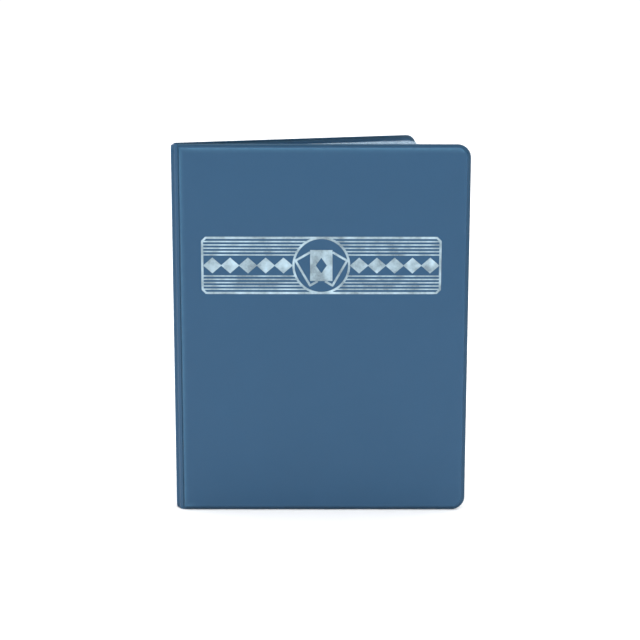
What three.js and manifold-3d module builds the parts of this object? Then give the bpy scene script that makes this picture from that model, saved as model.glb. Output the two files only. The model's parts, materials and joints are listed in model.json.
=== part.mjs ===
// A slim trading card album that stands on its bottom edge, a little open.
//
// The case is a heat-sealed vinyl wrap: an outer skin and an inner liner, welded round three stiff
// boards (front, spine, back). Between the boards the two sheets are welded flat and make the two
// living hinges. Ten nine-pocket pages are bound to a strip inside the spine. Each page is a back
// film with three pocket strips across it. The first pages lie on the front cover and the rest on
// the back cover, as in an album that is open at a spread.
//
// Millimetres, +Z up. The front cover lies along +X and faces -Y. The origin is at the bottom
// centre of the album's box.

import * as THREE from 'three';
import { mergeVertices } from 'three/addons/utils/BufferGeometryUtils.js';
import Module from 'manifold-3d';

// ---- driving dimensions -------------------------------------------------------------------

const CARD_WIDTH = 63.5;
const CARD_HEIGHT = 89;

const POCKET_COLUMNS = 3;
const POCKET_ROWS = 3;
const POCKET_SIDE_EASE = 4.5; // how much wider than a card a pocket is
const POCKET_END_EASE = 3; // and how much taller
const POCKET_SEAM = 2; // width of a welded seam
const POCKET_MOUTH = 1.6; // gap between two strips, where a card goes in
const BOUND_MARGIN = 15.4; // from the line a page turns on to its first seam
const PAGE_EDGE = 1; // from the last seam to the page's free edge
const PAGE_END = 5.4; // from the strips to the page's top and bottom
const PAGE_CORNER = 5;
const BACK_FILM = 0.25; // sheet thicknesses
const POCKET_FILM = 0.2;
const POCKET_GAP = 0.2; // room between the films for a card

const PAGES = 10;
const PAGES_TURNED = 4; // how many lie on the front cover
const PAGE_PITCH = 1.2; // between the bound edges, across the spine
const PAGE_STEP = 0.5; // how much higher each page is bound than the one on its outer side
const PAGE_FOLLOW = 0.985; // share of its cover's angle that the outermost page takes
const PAGE_FAN = 0.018; // and how much less each page further in takes

const BOUND_HEIGHT = 1.9; // of the outermost pages' bound edges above the hinge plane
const BOUND_CLEARANCE = 0.45; // from a page's turning line down to the binding strip
const FILM_START = 0.3; // from the turning line to where the film begins
const STRIP_INSET = 0.15; // from the edge of the spine's liner to the foot of the strip
const STRIP_LIP = 0.3; // how far it reaches past the outermost pages
const STRIP_LIP_HEIGHT = 0.5; // of the lip above the foot

const COVER_OVERHANG = 4.5; // of the covers above and below the pages
const COVER_SIDE_MARGIN = 5.2; // from the furthest page's edge to the cover's free edge
const COVER_CORNER = 11; // radius of the free corners
const PAGE_TO_HINGE = 2.1; // from an outermost page to the hinge line of its cover
const HINGE_WIDTH = 4.6; // width of each living hinge
const HINGE_WELD = 0.8; // skin and liner fused together at a hinge
const HINGE_RIM = 0.4; // flat weld beside a hinge, before a raised panel

const SKIN = 0.5;
const LINER = 0.5;
const BOARD = 2;
const LAYER_GAP = 0.2; // between layers that lie on each other
const FLANGE = 3.2; // from a cover's edge to its board
const SPINE_FLANGE = 1.7; // from the spine's ends to its board
const BOARD_CLEARANCE = 0.4; // between a board's edge and the skin's wall

const FRONT_OPEN = 6; // degrees that each cover stands open from square to the spine
const BACK_OPEN = 24.7;

const EMBLEM_HEIGHT = 47;
const EMBLEM_FROM_HINGE = 20.2;
const EMBLEM_FROM_EDGE = 22.8;
const EMBLEM_BELOW_TOP = 74.5;
const EMBLEM_FOIL = 0.2;
const EMBLEM_LINE = 1.8; // width of the frame and the ring
const EMBLEM_BAR = 1.1;
const EMBLEM_BARS = 5; // above the band of diamonds, and as many below it
const EMBLEM_BAND = 13;
const EMBLEM_DIAMONDS = 5; // on each side of the ring
const EMBLEM_CUT = 3.4; // how much of each corner is cut off, each way
const EMBLEM_CARDS = [30, -30, 0]; // how far each card in the ring is turned, the front one last
const EMBLEM_CARD = 0.54; // share of the stamp's height that a card takes
const EMBLEM_PIVOT = 0.34; // and share from the ring's middle down to the point that they turn on
const EMBLEM_WINDOW = 0.5; // share of the front card that its diamond window takes, each way
const EMBLEM_OVERLAP = 0.3; // of one part of the stamp on the next

const ARC_STEPS = 10; // facets in a hinge's bend
const CORNER_STEPS = 8; // facets in a rounded corner
const PAGE_CORNER_STEPS = 3;
const RING_STEPS = 32; // facets in half of the ring

// ---- sizes that follow from them ------------------------------------------------------------

const POCKET_WIDTH = CARD_WIDTH + POCKET_SIDE_EASE;
const POCKET_HEIGHT = CARD_HEIGHT + POCKET_END_EASE;
const ROW_LENGTH = POCKET_COLUMNS * POCKET_WIDTH + (POCKET_COLUMNS + 1) * POCKET_SEAM;
const ROW_HEIGHT = POCKET_HEIGHT + POCKET_SEAM;
const PAGE_WIDTH = BOUND_MARGIN + ROW_LENGTH + PAGE_EDGE;
const PAGE_HEIGHT = POCKET_ROWS * (ROW_HEIGHT + POCKET_MOUTH) - POCKET_MOUTH + 2 * PAGE_END;
const PAGE_BOTTOM = COVER_OVERHANG;

const MOST_ON_A_SIDE = Math.max(PAGES_TURNED, PAGES - PAGES_TURNED);
const DEEPEST_BOUND = BOUND_HEIGHT + PAGE_STEP * (MOST_ON_A_SIDE - 1);
const COVER_HEIGHT = PAGE_HEIGHT + 2 * COVER_OVERHANG;
const COVER_REACH = DEEPEST_BOUND + PAGE_WIDTH + COVER_SIDE_MARGIN; // from hinge line to free edge
const HINGE_SPAN = (PAGES - 1) * PAGE_PITCH + 2 * PAGE_TO_HINGE; // between the two hinge lines

const PANEL_START = HINGE_WIDTH / 2 + LAYER_GAP; // where the stiff parts begin beside a hinge line
const SPINE_HALF = HINGE_SPAN / 2 - PANEL_START; // half the width of the stiff part of the spine

// Layers of the case, counted outwards from the hinge plane.
const LINER_OUT = LINER / 2;
const FLANGE_IN = LINER_OUT + LAYER_GAP;
const BOARD_OUT = FLANGE_IN + BOARD;
const PANEL_IN = BOARD_OUT + LAYER_GAP;
const PANEL_OUT = PANEL_IN + SKIN;

// ---- colours ------------------------------------------------------------------------------

const material = (color, roughness, metalness = 0) =>
  new THREE.MeshStandardMaterial({ color, roughness, metalness });

const vinyl = material(0x406487, 0.45);
const linerVinyl = material(0x35587a, 0.5);
const chipboard = material(0x9a8f7c, 0.9);
const foil = material(0xb9cddb, 0.25, 0.9);
const bindingPlastic = material(0x2c4763, 0.5);
const film = material(0xd5e3ee, 0.15);
film.transparent = true;
film.opacity = 0.4;

// ---- solids -------------------------------------------------------------------------------

const wasm = await Module();
wasm.setup();

function solidOf(geometry) {
  const bare = geometry.clone().deleteAttribute('normal').deleteAttribute('uv');
  const merged = mergeVertices(bare, 1e-4);
  return new wasm.Manifold(
    new wasm.Mesh({
      numProp: 3,
      vertProperties: new Float32Array(merged.attributes.position.array),
      triVerts: new Uint32Array(merged.index.array),
    }),
  );
}

function geometryOf(solid) {
  const mesh = solid.getMesh();
  const geometry = new THREE.BufferGeometry();
  geometry.setAttribute('position', new THREE.BufferAttribute(mesh.vertProperties, 3));
  geometry.setIndex(new THREE.BufferAttribute(mesh.triVerts, 1));
  return geometry;
}

// A rectangle in width and height. corner rounds the two corners at the free edge.
function panel(x0, x1, z0, z1, corner = 0) {
  const shape = new THREE.Shape();
  shape.moveTo(x0, z0);
  shape.lineTo(x1 - corner, z0);
  if (corner) shape.absarc(x1 - corner, z0 + corner, corner, -Math.PI / 2, 0);
  shape.lineTo(x1, z1 - corner);
  if (corner) shape.absarc(x1 - corner, z1 - corner, corner, 0, Math.PI / 2);
  shape.lineTo(x0, z1);
  return shape;
}

// A shape drawn in X and Z, made solid from y0 to y1.
function slab(shape, y0, y1, curveSegments = CORNER_STEPS) {
  const geometry = new THREE.ExtrudeGeometry(shape, {
    depth: y1 - y0,
    bevelEnabled: false,
    curveSegments,
  });
  return geometry.rotateX(Math.PI / 2).translate(0, y1, 0);
}

// The same for a cover, whose layers are counted outwards from the hinge plane. out is -1 or 1.
function layer(shape, from, to, out, steps) {
  return out > 0 ? slab(shape, from, to, steps) : slab(shape, -to, -from, steps);
}

// A shape drawn in X and Y, made solid over the album's height from z0 to z1.
function post(shape, z0, z1) {
  const geometry = new THREE.ExtrudeGeometry(shape, {
    depth: z1 - z0,
    bevelEnabled: false,
    curveSegments: ARC_STEPS,
  });
  return geometry.translate(0, 0, z0);
}

function node(name, geometry, surface) {
  const mesh = new THREE.Mesh(geometry, surface);
  mesh.name = name;
  return mesh;
}

// ---- covers ------------------------------------------------------------------------------

// The outer skin: a flat rim with a raised panel, hollow for the board. rimmed(inset, side) is its
// outline, drawn in by inset all round and by side beside a hinge. flange is from its edge to the board.
function skin(rimmed, layerOf, flange) {
  const wallInset = flange - SKIN - BOARD_CLEARANCE;
  const rim = solidOf(layerOf(rimmed(0, 0), FLANGE_IN, FLANGE_IN + SKIN));
  const raised = solidOf(layerOf(rimmed(wallInset, HINGE_RIM), FLANGE_IN, PANEL_OUT));
  const hollow = rimmed(wallInset + SKIN, HINGE_RIM + SKIN);
  const cut = solidOf(layerOf(hollow, FLANGE_IN - LAYER_GAP, PANEL_IN));
  return geometryOf(rim.add(raised).subtract(cut));
}

const BOARD_SIDE = HINGE_RIM + SKIN + BOARD_CLEARANCE; // from a hinge's edge to a board

// A cover in its own frame: X along it from its hinge line, outwards towards out * Y.
function cover(name, out) {
  const outline = (inset, side) =>
    panel(
      PANEL_START + side,
      COVER_REACH - inset,
      inset,
      COVER_HEIGHT - inset,
      Math.max(COVER_CORNER - inset, 0),
    );
  const layerOf = (shape, from, to) => layer(shape, from, to, out);
  const board = layerOf(outline(FLANGE, BOARD_SIDE), FLANGE_IN, BOARD_OUT);
  const liner = layerOf(outline(0, 0), -LINER_OUT, LINER_OUT);
  const group = new THREE.Group();
  group.add(
    node(`${name}_skin`, skin(outline, layerOf, FLANGE), vinyl),
    node(`${name}_board`, board, chipboard),
    node(`${name}_liner`, liner, linerVinyl),
  );
  return group;
}

// A rectangle with its corners cut off.
function cutPlate(x0, x1, z0, z1, cut) {
  const shape = new THREE.Shape();
  shape.moveTo(x0 + cut, z0);
  shape.lineTo(x1 - cut, z0);
  shape.lineTo(x1, z0 + cut);
  shape.lineTo(x1, z1 - cut);
  shape.lineTo(x1 - cut, z1);
  shape.lineTo(x0 + cut, z1);
  shape.lineTo(x0, z1 - cut);
  shape.lineTo(x0, z0 + cut);
  return shape;
}

// A card outline that is turned about a point below its middle.
function turnedCard(middle, halfWidth, halfHeight, degrees) {
  const pivot = new THREE.Vector2(0, -EMBLEM_PIVOT * EMBLEM_HEIGHT);
  const turn = THREE.MathUtils.degToRad(degrees);
  const signs = [
    [-1, -1],
    [1, -1],
    [1, 1],
    [-1, 1],
  ];
  const corners = signs.map(([a, b]) =>
    new THREE.Vector2(a * halfWidth, b * halfHeight).rotateAround(pivot, turn).add(middle),
  );
  return new THREE.Shape(corners);
}

function diamond(middle, halfWidth, halfHeight) {
  const corners = [
    new THREE.Vector2(middle.x - halfWidth, middle.y),
    new THREE.Vector2(middle.x, middle.y - halfHeight),
    new THREE.Vector2(middle.x + halfWidth, middle.y),
    new THREE.Vector2(middle.x, middle.y + halfHeight),
  ];
  return new THREE.Shape(corners);
}

// The foil stamp: a frame with cut corners, bars above and below a band of diamonds, and in the
// middle a ring that holds a fan of blank cards.
function emblem() {
  const [left, right] = [EMBLEM_FROM_HINGE, COVER_REACH - EMBLEM_FROM_EDGE];
  const top = COVER_HEIGHT - EMBLEM_BELOW_TOP;
  const bottom = top - EMBLEM_HEIGHT;
  const middle = new THREE.Vector2((left + right) / 2, (top + bottom) / 2);
  const line = EMBLEM_LINE;
  const radius = EMBLEM_HEIGHT / 2;
  const face = PANEL_OUT + LAYER_GAP;
  const stamp = (shape) => solidOf(layer(shape, face, face + EMBLEM_FOIL, -1, RING_STEPS));
  const cutter = (shape) => solidOf(layer(shape, face - LAYER_GAP, face + 1, -1, RING_STEPS));
  const disc = (size) => new THREE.Shape().absarc(middle.x, middle.y, size, 0, Math.PI * 2);

  const plate = cutPlate(left, right, bottom, top, EMBLEM_CUT);
  const innerCut = EMBLEM_CUT - line * (2 - Math.SQRT2); // keeps the line as wide across a cut corner
  const inner = cutPlate(left + line, right - line, bottom + line, top - line, innerCut);
  let made = stamp(plate).subtract(cutter(inner));
  const zone = (EMBLEM_HEIGHT - EMBLEM_BAND) / 2 - line;
  const pitch = (zone + EMBLEM_BAR) / (EMBLEM_BARS + 1);
  for (let i = 1; i <= EMBLEM_BARS; i++) {
    for (const side of [-1, 1]) {
      const z = middle.y + side * ((EMBLEM_BAND - EMBLEM_BAR) / 2 + i * pitch);
      made = made.add(stamp(panel(left + line / 2, right - line / 2, z - EMBLEM_BAR / 2, z + EMBLEM_BAR / 2)));
    }
  }
  const cell = (right - line - middle.x - radius) / EMBLEM_DIAMONDS;
  for (let i = 0; i < EMBLEM_DIAMONDS; i++) {
    for (const side of [-1, 1]) {
      const x = middle.x + side * (radius + cell * (i + 0.5));
      const spot = new THREE.Vector2(x, middle.y);
      made = made.add(stamp(diamond(spot, cell / 2 + EMBLEM_OVERLAP, EMBLEM_BAND / 2)));
    }
  }

  made = made.add(stamp(disc(radius))).subtract(cutter(disc(radius - line)));
  const halfHeight = (EMBLEM_HEIGHT * EMBLEM_CARD) / 2;
  const halfWidth = (halfHeight * CARD_WIDTH) / CARD_HEIGHT;
  for (const degrees of EMBLEM_CARDS) {
    const card = (inset) => turnedCard(middle, halfWidth - inset, halfHeight - inset, degrees);
    made = made.subtract(cutter(card(0))).add(stamp(card(0))).subtract(cutter(card(line)));
  }
  const window = diamond(middle, halfWidth * EMBLEM_WINDOW, halfHeight * EMBLEM_WINDOW);
  const front = turnedCard(middle, halfWidth, halfHeight, 0);
  made = made.add(stamp(front)).subtract(cutter(window));
  return node('foil_emblem', geometryOf(made), foil);
}

// ---- spine ----------------------------------------------------------------------------------

// The spine's own frame: X points in towards the pages, Y from the front hinge to the back one.
// A shape drawn in Y and Z, made solid outwards from the hinge plane, which is towards -X.
function spineLayer(shape, from, to) {
  return layer(shape, from, to, 1).rotateZ(Math.PI / 2);
}

// The outline of the spine, drawn in by side beside the hinges and by inset at the ends.
const spineOutline = (inset, side) =>
  panel(side - SPINE_HALF, SPINE_HALF - side, inset, COVER_HEIGHT - inset);

// The fused sheets of a hinge, bent round from the spine's plane to the cover's. side is -1 at the
// front hinge and 1 at the back one, and open is how far its cover stands open.
function hingeWeb(open, side) {
  const turn = THREE.MathUtils.degToRad(90 - open);
  const radius = HINGE_WIDTH / 2 / Math.tan(turn / 2);
  const inner = radius - LINER_OUT;
  const outer = inner + HINGE_WELD;
  const centreY = side * (HINGE_SPAN / 2 - HINGE_WIDTH / 2);
  const start = Math.PI;
  const end = start - side * turn;
  const shape = new THREE.Shape();
  shape.absarc(radius, centreY, outer, start, end, side > 0);
  shape.absarc(radius, centreY, inner, end, start, side < 0);
  return post(shape, 0, COVER_HEIGHT);
}

// ---- pages ------------------------------------------------------------------------------------

// Where page n turns, in the spine's frame: the further in it is bound, the deeper.
function boundEdge(n) {
  const outward = n <= PAGES_TURNED ? n - 1 : PAGES - n;
  return {
    x: BOUND_HEIGHT + PAGE_STEP * outward,
    y: (n - (PAGES + 1) / 2) * PAGE_PITCH,
    share: PAGE_FOLLOW - PAGE_FAN * outward,
  };
}

// The strip that holds the bound edges, with a crest under them.
function bindingStrip() {
  const base = LINER_OUT + LAYER_GAP;
  const first = boundEdge(1);
  const last = boundEdge(PAGES);
  const lip = base + STRIP_LIP_HEIGHT;
  const shape = new THREE.Shape();
  shape.moveTo(base, STRIP_INSET - SPINE_HALF);
  shape.lineTo(lip, first.y - STRIP_LIP);
  for (let n = 1; n <= PAGES; n++) {
    const { x, y } = boundEdge(n);
    shape.lineTo(x - BOUND_CLEARANCE, y);
  }
  shape.lineTo(lip, last.y + STRIP_LIP);
  shape.lineTo(base, SPINE_HALF - STRIP_INSET);
  return post(shape, PAGE_BOTTOM, PAGE_BOTTOM + PAGE_HEIGHT);
}

// One page in its own frame: X along it from the line it turns on, front side towards -Y.
function page(n) {
  const group = new THREE.Group();
  const name = `page_${String(n).padStart(2, '0')}`;
  const top = PAGE_BOTTOM + PAGE_HEIGHT;
  const filmShape = panel(FILM_START, PAGE_WIDTH, PAGE_BOTTOM, top, PAGE_CORNER);
  const backFilm = slab(filmShape, -BACK_FILM / 2, BACK_FILM / 2, PAGE_CORNER_STEPS);
  group.add(node(`${name}_back_film`, backFilm, film));
  const face = -BACK_FILM / 2 - POCKET_GAP;
  for (let row = 1; row <= POCKET_ROWS; row++) {
    const low = top - PAGE_END - ROW_HEIGHT - (row - 1) * (ROW_HEIGHT + POCKET_MOUTH);
    const shape = panel(BOUND_MARGIN, BOUND_MARGIN + ROW_LENGTH, low, low + ROW_HEIGHT);
    group.add(node(`${name}_pocket_row_${row}`, slab(shape, face - POCKET_FILM, face), film));
  }
  return group;
}

// ---- assembly -----------------------------------------------------------------------------------

function place(group, x, y, degrees) {
  group.position.set(x, y, 0);
  group.rotation.z = THREE.MathUtils.degToRad(degrees);
  return group;
}

const front = cover('front', -1);
front.add(emblem());
const back = cover('back', 1);

const spine = new THREE.Group();
const spineBoard = spineLayer(spineOutline(SPINE_FLANGE, BOARD_SIDE), FLANGE_IN, BOARD_OUT);
const spineLiner = spineLayer(spineOutline(0, 0), -LINER_OUT, LINER_OUT);
spine.add(
  node('spine_skin', skin(spineOutline, spineLayer, SPINE_FLANGE), vinyl),
  node('spine_board', spineBoard, chipboard),
  node('spine_liner', spineLiner, linerVinyl),
  node('front_hinge_web', hingeWeb(FRONT_OPEN, -1), vinyl),
  node('back_hinge_web', hingeWeb(BACK_OPEN, 1), vinyl),
  node('binding_strip', bindingStrip(), bindingPlastic),
  place(front, 0, -HINGE_SPAN / 2, -FRONT_OPEN),
  place(back, 0, HINGE_SPAN / 2, BACK_OPEN),
);
for (let n = 1; n <= PAGES; n++) {
  const { x, y, share } = boundEdge(n);
  const turned = n <= PAGES_TURNED ? -FRONT_OPEN * share : BACK_OPEN * share;
  spine.add(place(page(n), x, y, turned));
}
spine.rotation.z = THREE.MathUtils.degToRad(FRONT_OPEN);

const album = new THREE.Group();
album.add(spine);
album.updateMatrixWorld(true);
const box = new THREE.Box3().setFromObject(album, true);
spine.position.set(-(box.min.x + box.max.x) / 2, -(box.min.y + box.max.y) / 2, 0);

export default album;
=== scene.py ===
"""The looks of a slim card album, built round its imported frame.

A heat-sealed vinyl case over stiff boards, two living hinges, a foil stamp on the front, and ten bound
pages of clear card pockets. Lengths are in millimetres in each part's own frame, and the meshes are in
metres in the row frame.
"""

import json
import math

import bmesh
import bpy
import numpy as np
from mathutils import Matrix, Vector
from mathutils.bvhtree import BVHTree


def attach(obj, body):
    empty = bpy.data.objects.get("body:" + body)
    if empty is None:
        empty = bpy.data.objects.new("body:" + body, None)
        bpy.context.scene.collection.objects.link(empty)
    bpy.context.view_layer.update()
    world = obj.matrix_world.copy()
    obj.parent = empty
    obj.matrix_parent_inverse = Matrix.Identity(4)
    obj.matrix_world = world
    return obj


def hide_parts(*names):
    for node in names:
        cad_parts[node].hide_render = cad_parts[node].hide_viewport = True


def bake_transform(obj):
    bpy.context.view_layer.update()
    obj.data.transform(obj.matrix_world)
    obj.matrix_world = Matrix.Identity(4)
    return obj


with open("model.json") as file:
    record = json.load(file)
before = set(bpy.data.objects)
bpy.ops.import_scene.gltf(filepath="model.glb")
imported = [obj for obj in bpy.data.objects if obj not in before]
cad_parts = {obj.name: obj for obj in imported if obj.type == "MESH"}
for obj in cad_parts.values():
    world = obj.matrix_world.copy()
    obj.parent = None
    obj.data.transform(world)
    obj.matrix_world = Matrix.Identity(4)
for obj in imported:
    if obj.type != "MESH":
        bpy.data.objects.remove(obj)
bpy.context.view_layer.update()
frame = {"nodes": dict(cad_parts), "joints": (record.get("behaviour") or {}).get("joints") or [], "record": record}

bl_info = {
    "name": "Card album",
    "version": (1, 0, 0),
    "blender": (4, 5, 0),
    "location": "View3D > Sidebar > Card album",
    "description": "Builds a welded vinyl card album with bound pocket pages",
    "category": "Add Mesh",
}

MM = 0.001
JOINTS = {joint["name"]: joint for joint in frame["joints"]}


# ---- places, read from the frame ----


def hinge_point(name):
    """A joint's point on the ground, in millimetres."""
    x, y, _ = JOINTS[name]["pos_m"]
    return Vector((x / MM, y / MM, 0))


def opened(name):
    """How far a joint's part stands open at rest, in degrees from square to the spine."""
    return -JOINTS[name]["range_deg"][0]


def square_to_spine():
    """The direction that stands square on the inside of the spine, in degrees from X."""
    across = hinge_point("back_hinge") - hinge_point("front_hinge")
    return math.degrees(math.atan2(across.y, across.x)) - 90


def part_frame(origin, degrees, out):
    """The matrix from (along, outwards, up) in millimetres to the row frame in metres."""
    turn = math.radians(degrees)
    along = Vector((math.cos(turn), math.sin(turn), 0))
    outward = Vector((-math.sin(turn), math.cos(turn), 0)) * out
    matrix = Matrix((along, outward, Vector((0, 0, 1)))).transposed().to_4x4()
    matrix.translation = origin
    return Matrix.Scale(MM, 4) @ matrix


def front_frame():
    return part_frame(hinge_point("front_hinge"), square_to_spine() - opened("front_hinge"), -1)


def back_frame():
    return part_frame(hinge_point("back_hinge"), square_to_spine() + opened("back_hinge"), 1)


def spine_frame():
    """Along runs across the spine from the front hinge to the back one, measured from its middle."""
    middle = (hinge_point("front_hinge") + hinge_point("back_hinge")) / 2
    return part_frame(middle, square_to_spine() + 90, 1)


def page_frame(page):
    """Outwards is the side that the pockets are on."""
    joint = f"{page}_hinge"
    turned = JOINTS[joint]["axis"][2] * opened(joint)
    return part_frame(hinge_point(joint), square_to_spine() + turned, -1)


def span(node, place):
    """A CAD node's lowest and highest corner in a part's own frame, in millimetres."""
    inverse = place.inverted()
    points = np.array([inverse @ v.co for v in frame["nodes"][node].data.vertices])
    return points.min(0), points.max(0)


def box_of(corners):
    """A sheet's outline as (x0, x1, z0, z1)."""
    lo, hi = corners
    return lo[0], hi[0], lo[2], hi[2]


PAGES = sorted(name for name in frame["record"]["behaviour"]["bodies"] if name.startswith("page_"))


# ---- settings ----


def colour(name, description, default):
    return bpy.props.FloatVectorProperty(
        name=name, description=description, default=default, subtype="COLOR", size=3, min=0, max=1
    )


def size(name, description, default):
    return bpy.props.FloatProperty(name=name, description=description, default=default, min=0)


def number(name, description, default):
    return bpy.props.IntProperty(name=name, description=description, default=default, min=1)


class CaseSettings(bpy.types.PropertyGroup):
    vinyl: colour("Vinyl", "Colour of the outer skin", (0.0195, 0.083, 0.174))
    liner: colour("Liner", "Colour of the inner sheet", (0.018, 0.075, 0.155))
    ridge: size("Ridge", "How far the skin stands up over a board's edge, in mm", 0.07)
    groove: size("Weld groove", "Depth of the groove that the sealing tool leaves, in mm", 0.14)
    crown: size("Crown", "How far a panel swells in its middle, in mm", 0.2)


class PageSettings(bpy.types.PropertyGroup):
    film: colour("Film", "Colour of the clear film", (0.50, 0.66, 0.80))
    opacity: size("Opacity", "Share of light that each face of a film stops", 0.17)
    bulge: size("Bulge", "How far a pocket's film lifts between its seams, in mm", 0.25)
    ripple: size("Ripple", "How far a page waves at its free edge, in mm", 0.5)
    dash: size("Seam dash", "Spacing of the dashes in a welded seam, in mm", 1.6)
    thumb_cut: size("Thumb cut", "Depth of the curved cut at a pocket's mouth, in mm", 2.2)


class EmblemSettings(bpy.types.PropertyGroup):
    foil: colour("Foil", "Colour of the stamped foil", (0.31, 0.415, 0.48))
    line: size("Line", "Width of the frame, the ring and the card outlines, in mm", 1.8)
    bar: size("Bar", "Width of a pinstripe, in mm", 1.1)
    bars: number("Bars", "Pinstripes above the diamonds, and below", 5)
    band: size("Band", "Height of the row of diamonds, in mm", 13.0)
    diamonds: number("Diamonds", "Diamonds on each side", 5)
    relief: size("Relief", "Height of the foil above the skin, in mm", 0.07)


class StageSettings(bpy.types.PropertyGroup):
    floor: colour("Floor", "Colour of the floor", (0.95, 0.95, 0.95))
    light: size("Light", "Strength of the light from all round", 1.0)
    lens: bpy.props.FloatProperty(
        name="Lens", description="Focal length", default=0.0812, unit="CAMERA", min=0.01
    )


# ---- meshes ----


def smoothstep(value):
    value = np.clip(value, 0, 1)
    return value * value * (3 - 2 * value)


def make_object(name, data, paint=None):
    """An object in the scene. Paint replaces its mesh's materials."""
    obj = bpy.data.objects.new(name, data)
    bpy.context.scene.collection.objects.link(obj)
    if paint is not None:
        data.materials.clear()
        data.materials.append(paint)
    return obj


MERGE = 1e-6  # points closer than this are one, in metres
SHORTEST_EDGE = 1e-8


def tidy(mesh):
    """Merges doubles, turns the faces outwards and shades them smooth."""
    work = bmesh.new()
    work.from_mesh(mesh)
    bmesh.ops.remove_doubles(work, verts=work.verts, dist=MERGE)
    bmesh.ops.dissolve_degenerate(work, edges=work.edges, dist=SHORTEST_EDGE)
    bmesh.ops.recalc_face_normals(work, faces=work.faces)
    for face in work.faces:
        face.smooth = True
    work.to_mesh(mesh)
    work.free()
    return mesh


def mesh_from(name, points, faces, place, attributes=None):
    """A mesh from points in a part's own frame, put in its place."""
    mesh = bpy.data.meshes.new(name)
    mesh.from_pydata([place @ Vector(p) for p in points], [], faces)
    for key, values in (attributes or {}).items():
        layer = mesh.attributes.new(key, "FLOAT", "POINT")
        layer.data.foreach_set("value", np.asarray(values, np.float32))
    return tidy(mesh)


LONG_STEPS, SHORT_STEPS, ARC_STEPS = 40, 26, 10  # along an outline's sides and round its corners


def ring(box, left, right, ends, radius):
    """An outline drawn in from box = (x0, x1, z0, z1), with the two corners at x1 rounded."""
    x0, x1, z0, z1 = box[0] + left, box[1] - right, box[2] + ends, box[3] - ends
    z0, z1 = min(z0, (box[2] + box[3]) / 2), max(z1, (box[2] + box[3]) / 2)
    across = np.linspace(0, 1, SHORT_STEPS, endpoint=False)[:, None]
    upward = np.linspace(0, 1, LONG_STEPS, endpoint=False)[:, None]
    angles = np.linspace(0, math.pi / 2, ARC_STEPS, endpoint=False)
    low, high = np.array([x1 - radius, z0 + radius]), np.array([x1 - radius, z1 - radius])

    def arc(centre, start):
        return centre + radius * np.stack([np.cos(start + angles), np.sin(start + angles)], 1)

    def edge(a, b, steps):
        return np.array(a) + (np.array(b) - np.array(a)) * steps

    return np.concatenate(
        [
            edge((x0, z0), (x1 - radius, z0), across),
            arc(low, -math.pi / 2),
            edge((x1, z0 + radius), (x1, z1 - radius), upward),
            arc(high, 0),
            edge((x1 - radius, z1), (x0, z1), across),
            edge((x0, z1), (x0, z0), upward),
        ]
    )


def ripple(x, z, scale=1.0):
    """A slow, fixed unevenness, from -1 to 1: three sets of waves, tens of millimetres long."""
    x, z = x / scale, z / scale
    broad = np.sin(x / 31 + 1.3) * np.sin(z / 43 + 0.4)
    return 0.5 * broad + 0.3 * np.sin(x / 17 - z / 23) + 0.2 * np.sin(z / 11 + x / 29)


# Share of the painted highlight along each side of a sheet: full along the top, less beside the hinge, faint
# elsewhere.
TOP_HIGHLIGHT, HINGE_HIGHLIGHT, OTHER_HIGHLIGHT = 1.0, 0.75, 0.12


def highlight_share(box, x, z):
    """How much painted highlight shows at the nearest of a sheet's edges: most along the top."""
    to_sides = {
        box[3] - z: TOP_HIGHLIGHT,
        x - box[0]: HINGE_HIGHLIGHT,
        box[1] - x: OTHER_HIGHLIGHT,
        z - box[2]: OTHER_HIGHLIGHT,
    }
    return to_sides[min(to_sides)]


def band(first, second, count):
    """The faces between two closed rows of points, which start at the indices first and second."""
    pairs = ((i, (i + 1) % count) for i in range(count))
    return [(first + i, first + j, second + j, second + i) for i, j in pairs]


def sealed_sheet(name, place, box, rings, thickness, lift=None):
    """A sheet whose face goes through rings = [(ring arguments, height, seal, painted edge highlight), ...],
    from its rim to its middle, and is raised by lift(x, z). Its back lies thickness behind the face."""
    outlines = [ring(box, *arguments) for arguments, _, _, _ in rings]
    count = len(outlines[0])
    points, seal, edge = [], [], []
    for side in (0, thickness):
        for (_, height, sealed, edge_highlight), outline in zip(rings, outlines):
            for x, z in outline:
                raised = height + (lift(x, z) if lift else 0.0)
                points.append((x, raised - side, z))
                # The edge attribute holds the share of painted highlight at each point.
                edge.append(edge_highlight * highlight_share(box, x, z))
            seal += [sealed] * count
    back = len(rings) * count
    faces = []
    for base in (0, back):
        for k in range(len(rings) - 1):
            faces += band(base + k * count, base + (k + 1) * count, count)
    faces += band(0, back, count)
    return mesh_from(name, points, faces, place, {"seal": seal, "edge": edge})


def grid_sheet(name, place, xs, zs, face, back, shaped):
    """A closed sheet over a grid. face(x, z) and back(x, z) give its two sides' heights, and
    shaped(x, z) moves its points to fit the sheet's outline."""
    x, z = shaped(*np.meshgrid(xs, zs, indexing="ij"))
    heights = (face(x, z), back(x, z))
    points = [point for y in heights for point in zip(x.ravel(), y.ravel(), z.ravel())]
    index = np.arange(x.size).reshape(x.shape)
    quads = np.stack([index[:-1, :-1], index[1:, :-1], index[1:, 1:], index[:-1, 1:]], -1).reshape(-1, 4)
    sides = np.stack([quads, quads[:, ::-1] + x.size], 1).reshape(-1, 4)
    rim = np.concatenate([index[:, 0], index[-1, 1:], index[-2::-1, -1], index[0, -2:0:-1]])
    after = np.roll(rim, -1)
    walls = np.stack([rim, rim + x.size, after + x.size, after], 1)
    return mesh_from(name, points, [*sides.tolist(), *walls.tolist()], place)


# ---- node trees ----


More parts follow.
